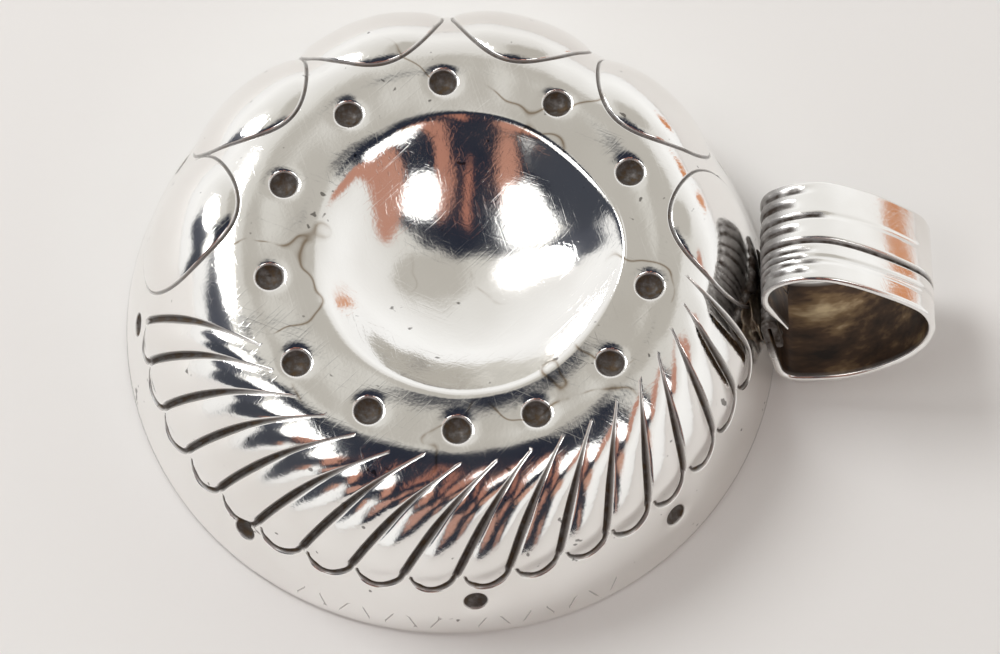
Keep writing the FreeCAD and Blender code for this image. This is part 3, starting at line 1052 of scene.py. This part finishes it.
# What the silver mirrors, laid over the white room: (direction, how many times narrower than
# tall, chord to the edge of the full colour, chord to where it has faded, colour).
SKY_PATCHES = [
    ((0.22, 0.47, 0.86), 1, 0.24, 0.36, (0.50, 0.475, 0.43, 1)),      # plain ceiling
    ((-0.80, 0.12, 0.58), 1, 0.26, 0.36, (0.07, 0.075, 0.095, 1)),    # dark doorway
    ((-0.78, -0.42, 0.46), 1, 0.34, 0.44, (0.055, 0.06, 0.075, 1)),
    ((0.02, -0.46, 0.89), 1, 0.66, 0.76, (0.020, 0.024, 0.038, 1)),   # the dark room beyond the lamps
    ((0.05, -0.94, 0.30), 1, 0.40, 0.50, (0.030, 0.033, 0.045, 1)),
    ((0.66, -0.15, 0.73), 4, 0.30, 0.44, (0.50, 0.25, 0.18, 1)),      # warm curtains in front of it
    ((0.23, -0.50, 0.83), 4, 0.32, 0.48, (0.45, 0.21, 0.15, 1)),
    ((-0.02, -0.34, 0.94), 5, 0.18, 0.34, (0.40, 0.17, 0.12, 1)),
    ((-0.37, -0.50, 0.78), 3, 0.28, 0.42, (0.50, 0.25, 0.18, 1)),
    ((0.08, -0.86, 0.50), 2, 0.12, 0.24, (0.46, 0.23, 0.17, 1)),
    ((0.52, -0.72, 0.46), 1, 0.12, 0.22, (0.52, 0.29, 0.21, 1)),
    ((-0.62, -0.66, 0.40), 2, 0.10, 0.20, (0.48, 0.26, 0.19, 1)),
    ((-0.20, -0.93, 0.30), 1, 0.12, 0.20, (0.48, 0.27, 0.21, 1)),
    ((0.24, -0.96, 0.18), 1, 0.10, 0.18, (0.48, 0.27, 0.21, 1)),
    ((0.70, 0.70, 0.13), 1, 0.06, 0.08, (0.62, 0.25, 0.10, 1)),       # a warm post far to the right
    ((0.41, -0.31, 0.85), 1, 0.10, 0.22, (3.4, 3.4, 3.35, 1)),        # two soft lamps
    ((-0.50, -0.20, 0.84), 1, 0.15, 0.28, (3.4, 3.4, 3.35, 1)),
]


class WT_OT_stage(bpy.types.Operator):
    """Lay the pale floor, set the soft lights and aim the camera"""
    bl_idname = "wine_taster.stage"
    bl_label = "Stage"

    TARGET = Vector((6.333 * MM, -0.18 * MM, 0))
    WOBBLE, MEAN_WOBBLE = 0.35, 0.17        # unevenness of the sky's patches

    def execute(self, context):
        stage = context.scene.taster_stage
        self.add_floor(stage)
        self.add_sky(context.scene)
        self.add_soft_light("key", (-0.7, 0.45, 0.95), 0.55, 8.0)
        self.aim_camera(context.scene, stage)
        return {"FINISHED"}

    def add_floor(self, stage):
        clear_selection()
        bpy.ops.mesh.primitive_plane_add(size=6, location=(0, 0, 0))
        floor = bpy.context.object
        floor.name = "floor"
        nodes = material_nodes("pale_paper")
        tone = nodes.ramp(nodes.noise(7, 3.0), "Fac", [
            (0.3, tuple(c * 0.985 for c in stage.floor[:3]) + (1,)), (0.7, tuple(stage.floor))])
        nodes.link(tone, "Color", nodes.shader, "Base Color")
        nodes.shader.inputs["Roughness"].default_value = 0.85
        grain = nodes.bump(nodes.noise(600, 3.0), "Fac", 0.08, 0.0002)
        nodes.link(grain, "Normal", nodes.shader, "Normal")
        replace_material(floor, nodes.owner)

    def add_sky(self, scene):
        """A white room, greyer overhead, with what the silver mirrors laid over it."""
        scene.view_settings.view_transform = "Standard"
        scene.world = bpy.data.worlds.new("white_room")
        nodes = Nodes(scene.world, "ShaderNodeOutputWorld", "ShaderNodeBackground")
        split = nodes.add("ShaderNodeSeparateXYZ")
        nodes.link(nodes.coords, "Generated", split, "Vector")
        room = nodes.ramp(split, "Z", [
            (0.0, (0.90, 0.893, 0.88, 1)), (0.30, (0.97, 0.963, 0.945, 1)),
            (0.62, (0.79, 0.775, 0.745, 1)), (1.0, (0.62, 0.60, 0.55, 1))])
        colour = (room, "Color")
        for direction, narrowness, full, edge, tint in SKY_PATCHES:
            colour = self.add_patch(
                nodes, colour, Vector(direction).normalized(), narrowness, full, edge, tint)
        nodes.link(*colour, nodes.shader, "Color")
        nodes.shader.inputs["Strength"].default_value = 1.0

    def add_patch(self, nodes, colour, direction, narrowness, full, edge, tint):
        """Mixes a soft, uneven patch into the sky's colour, narrowed from left to right."""
        sky = (nodes.coords, "Generated")
        squeeze = Vector((narrowness, 1, 1))
        squeezed = nodes.math("MULTIPLY", sky, squeeze, "ShaderNodeVectorMath")
        gap = nodes.math("DISTANCE", (squeezed, "Vector"), squeeze * direction, "ShaderNodeVectorMath")
        wobble = nodes.math("MULTIPLY", (nodes.noise(3.0, source=sky), "Fac"), self.WOBBLE)
        bent = nodes.math("ADD", (wobble, "Value"), (gap, "Value"))
        fade = nodes.add("ShaderNodeMapRange", From_Min=full + self.MEAN_WOBBLE,
                         From_Max=edge + self.MEAN_WOBBLE, To_Min=1.0, To_Max=0.0)
        nodes.link(bent, "Value", fade, "Value")
        return nodes.mix((fade, "Result"), colour, tint), 2

    def add_soft_light(self, name, place, size, power):
        clear_selection()
        bpy.ops.object.light_add(type="AREA", location=place)
        light = bpy.context.object
        light.name = name
        light.data.shape = "DISK"
        light.data.size = size
        light.data.energy = power
        light.rotation_euler = Vector(place).to_track_quat("Z", "Y").to_euler()

    def aim_camera(self, scene, stage):
        turn = Matrix.Rotation(stage.azimuth, 3, "Z")
        view = turn @ Vector((0, math.cos(stage.elevation), -math.sin(stage.elevation)))
        level = turn @ Vector((1, 0, 0))
        upright = level.cross(view)
        c, s = math.cos(stage.roll), math.sin(stage.roll)
        right, up = level * c + upright * s, upright * c - level * s
        data = bpy.data.cameras.new("camera")
        data.lens = stage.lens
        camera = bpy.data.objects.new("camera", data)
        scene.collection.objects.link(camera)
        camera.matrix_world = Matrix.Translation(turn @ self.TARGET - view * stage.distance) @ (
            Matrix((right, up, -view)).transposed().to_4x4())
        scene.camera = camera


# ---------------- panel and registration
class WT_PT_panel(bpy.types.Panel):
    """Sizes, colours and build steps of the wine taster"""
    bl_label = "Wine Taster"
    bl_idname = "WT_PT_panel"
    bl_space_type = "VIEW_3D"
    bl_region_type = "UI"
    bl_category = "Wine Taster"

    def draw(self, context):
        for group in ("taster_sheet", "taster_ring", "taster_finish", "taster_stage"):
            box = self.layout.box()
            values = getattr(context.scene, group)
            for name in values.bl_rna.properties.keys():
                if name not in ("rna_type", "name"):
                    box.prop(values, name)
        for operator in OPERATORS:
            self.layout.operator(operator.bl_idname)


GROUPS = {
    "taster_sheet": TasterSheet,
    "taster_ring": TasterRing,
    "taster_finish": TasterFinish,
    "taster_stage": TasterStage,
}
OPERATORS = (WT_OT_stage, WT_OT_sheet, WT_OT_ring, WT_OT_solder)


def register():
    for name, group in GROUPS.items():
        bpy.utils.register_class(group)
        setattr(bpy.types.Scene, name, bpy.props.PointerProperty(type=group))
    for cls in OPERATORS + (WT_PT_panel,):
        bpy.utils.register_class(cls)


def unregister():
    for cls in (WT_PT_panel,) + OPERATORS[::-1]:
        bpy.utils.unregister_class(cls)
    for name, group in reversed(GROUPS.items()):
        delattr(bpy.types.Scene, name)
        bpy.utils.unregister_class(group)


def main():
    register()
    bpy.ops.wine_taster.stage()
    bpy.ops.wine_taster.sheet()
    bpy.ops.wine_taster.ring()
    bpy.ops.wine_taster.solder()


if __name__ == "__main__":
    main()
